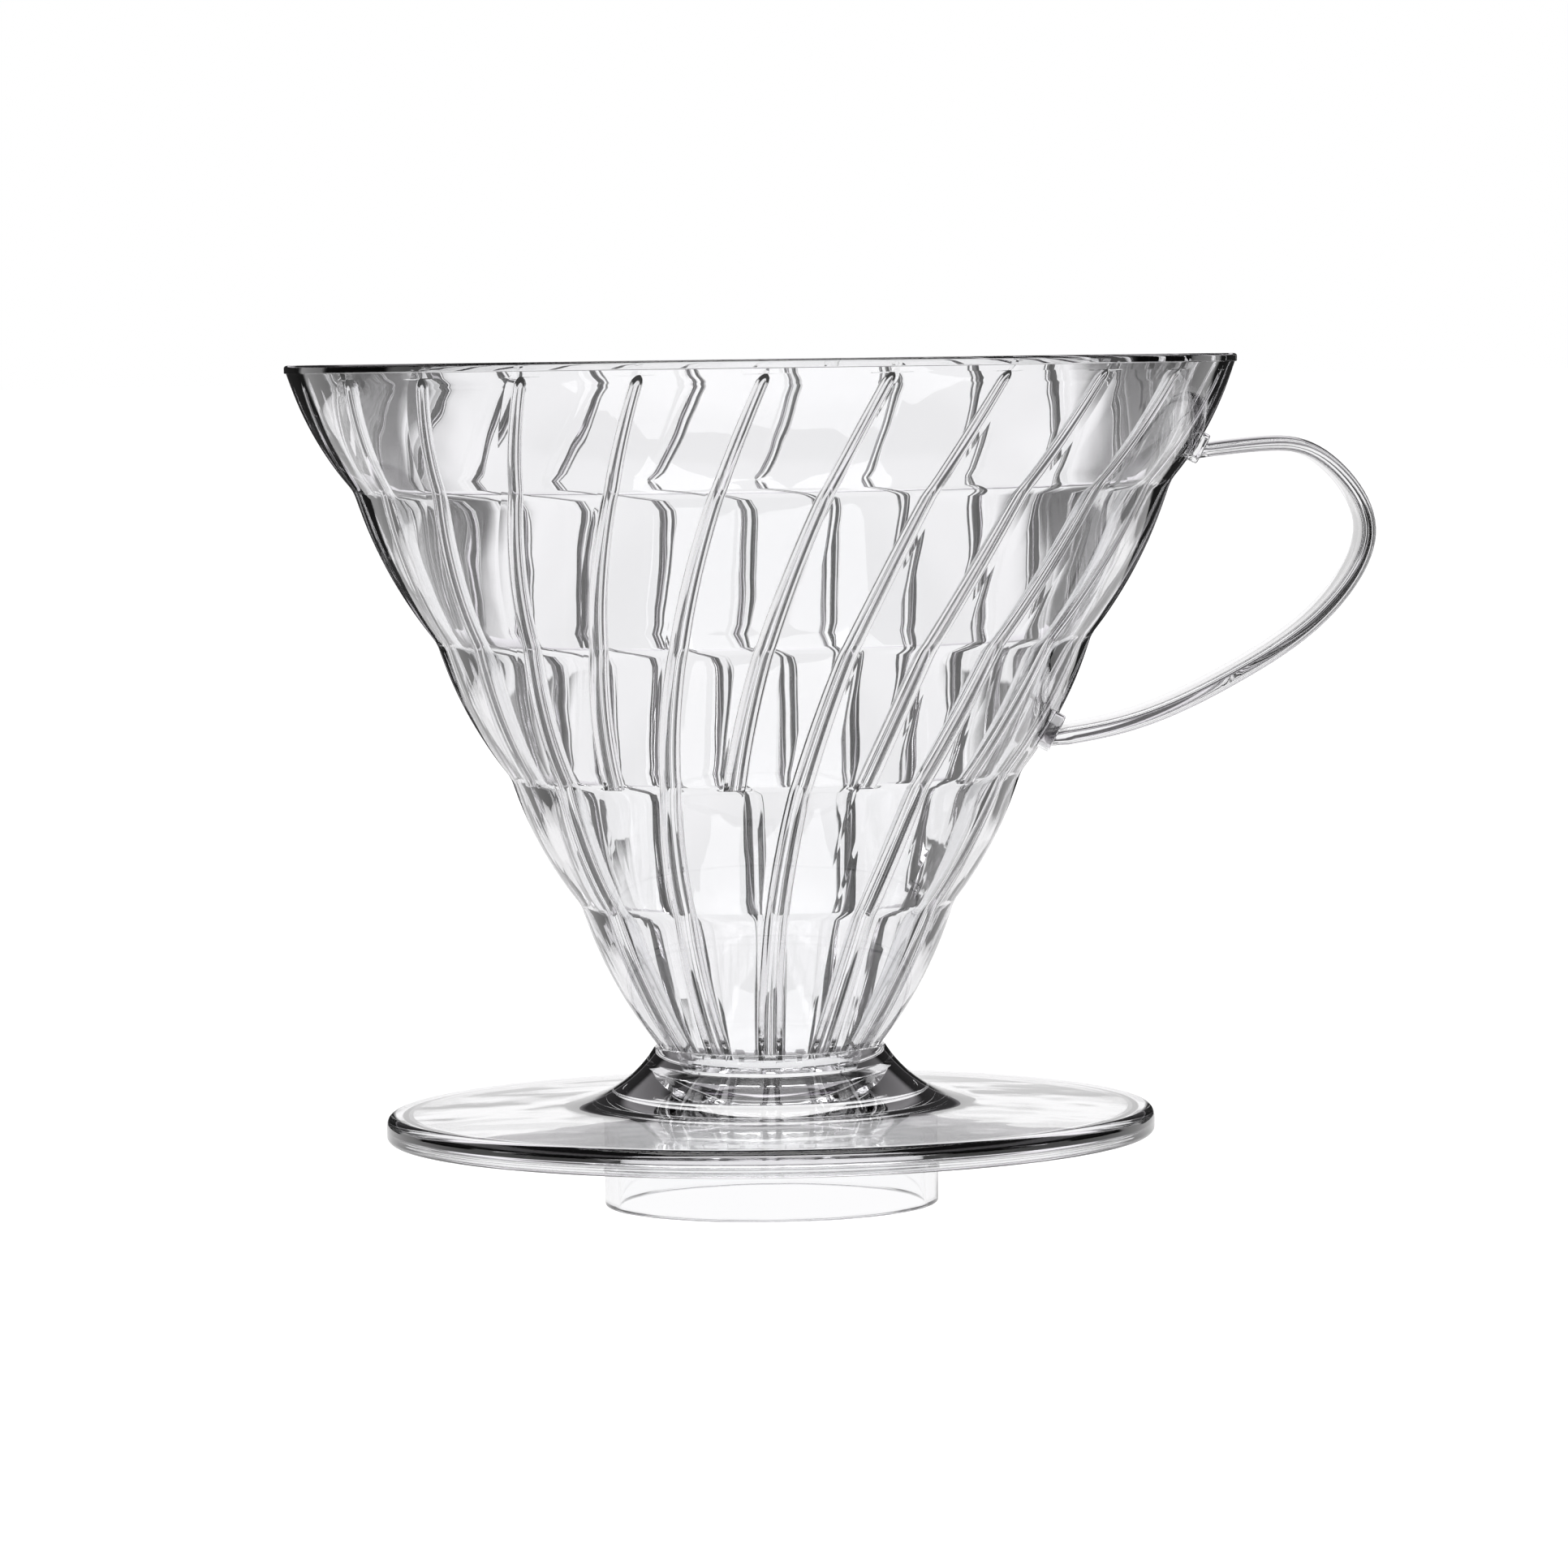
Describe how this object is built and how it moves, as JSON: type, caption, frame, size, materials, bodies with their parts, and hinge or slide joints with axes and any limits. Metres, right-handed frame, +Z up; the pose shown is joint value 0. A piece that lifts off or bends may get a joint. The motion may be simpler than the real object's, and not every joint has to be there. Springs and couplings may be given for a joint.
{
  "type": "pour over dripper",
  "caption": "Clear plastic cone dripper with spiral inner ribs, a strap handle and a flared saucer base with a locating ring that stands on a mug or server.",
  "frame": {"origin": "on the cone's axis, at the foot of the locating ring, the lowest point of the object", "axes": "+Z up along the cone's axis, towards the rim; +X towards the handle"},
  "size_m": [0.1555, 0.136, 0.1212],
  "materials": {
    "clear_plastic": "clear colourless styrene-type plastic, polished mould finish"
  },
  "bodies": {
    "root": {"cone": "clear_plastic", "handle": "clear_plastic", "base": "clear_plastic"}
  },
  "joints": []
}
